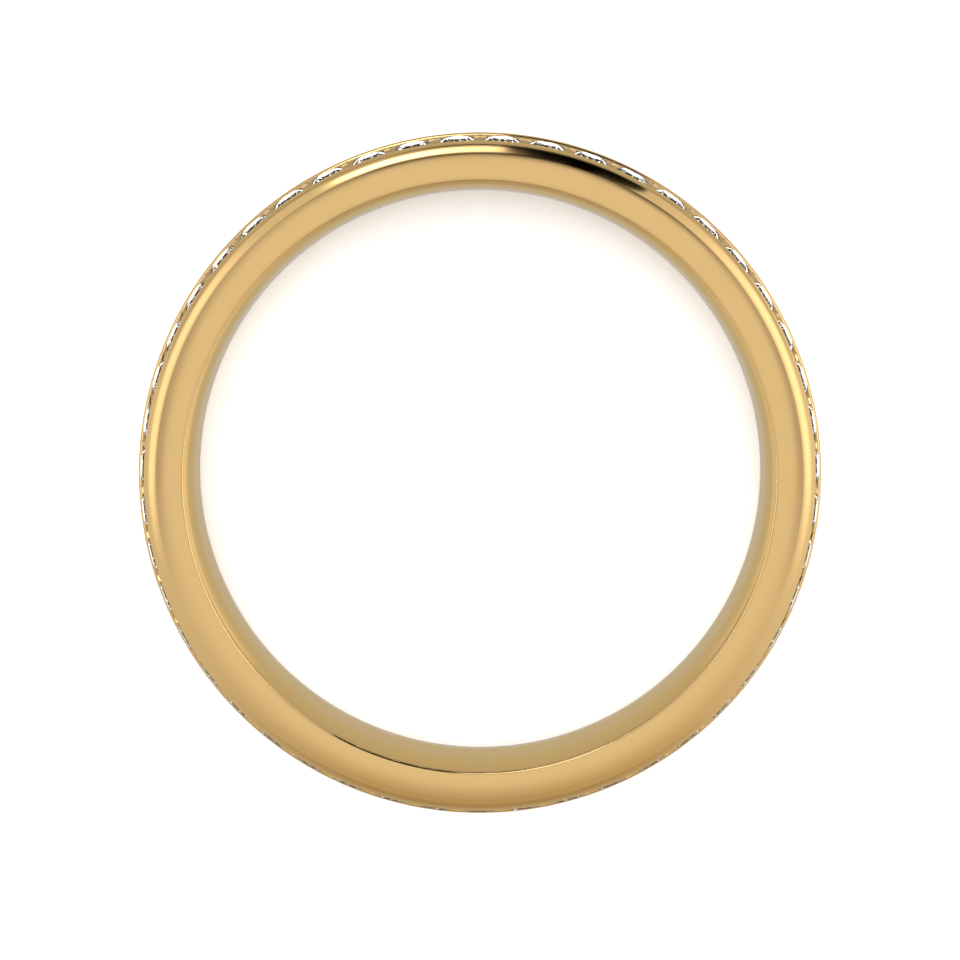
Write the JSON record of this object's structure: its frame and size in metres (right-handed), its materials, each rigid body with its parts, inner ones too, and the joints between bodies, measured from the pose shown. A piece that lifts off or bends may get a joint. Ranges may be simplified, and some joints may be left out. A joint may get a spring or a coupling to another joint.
{
  "type": "wedding ring",
  "caption": "Yellow gold wedding ring with a comfort-fit bore, lying on its side, and a full row of small brilliant-cut stones held by grains in a sunk strip along its upper flank.",
  "frame": {"origin": "centre of the lower side face, on the surface that the ring lies on", "axes": "+Z along the finger axis, from the lower side face to the side face beside the stones; +Y towards the middle of a gap between two stones, and -Y towards a stone"},
  "size_m": [0.0204, 0.0204, 0.0047],
  "materials": {
    "gold": "polished 18 ct yellow gold",
    "stones": "brilliant-cut diamond"
  },
  "bodies": {
    "root": {"band": "gold", "stone_row": "stones"}
  },
  "joints": []
}
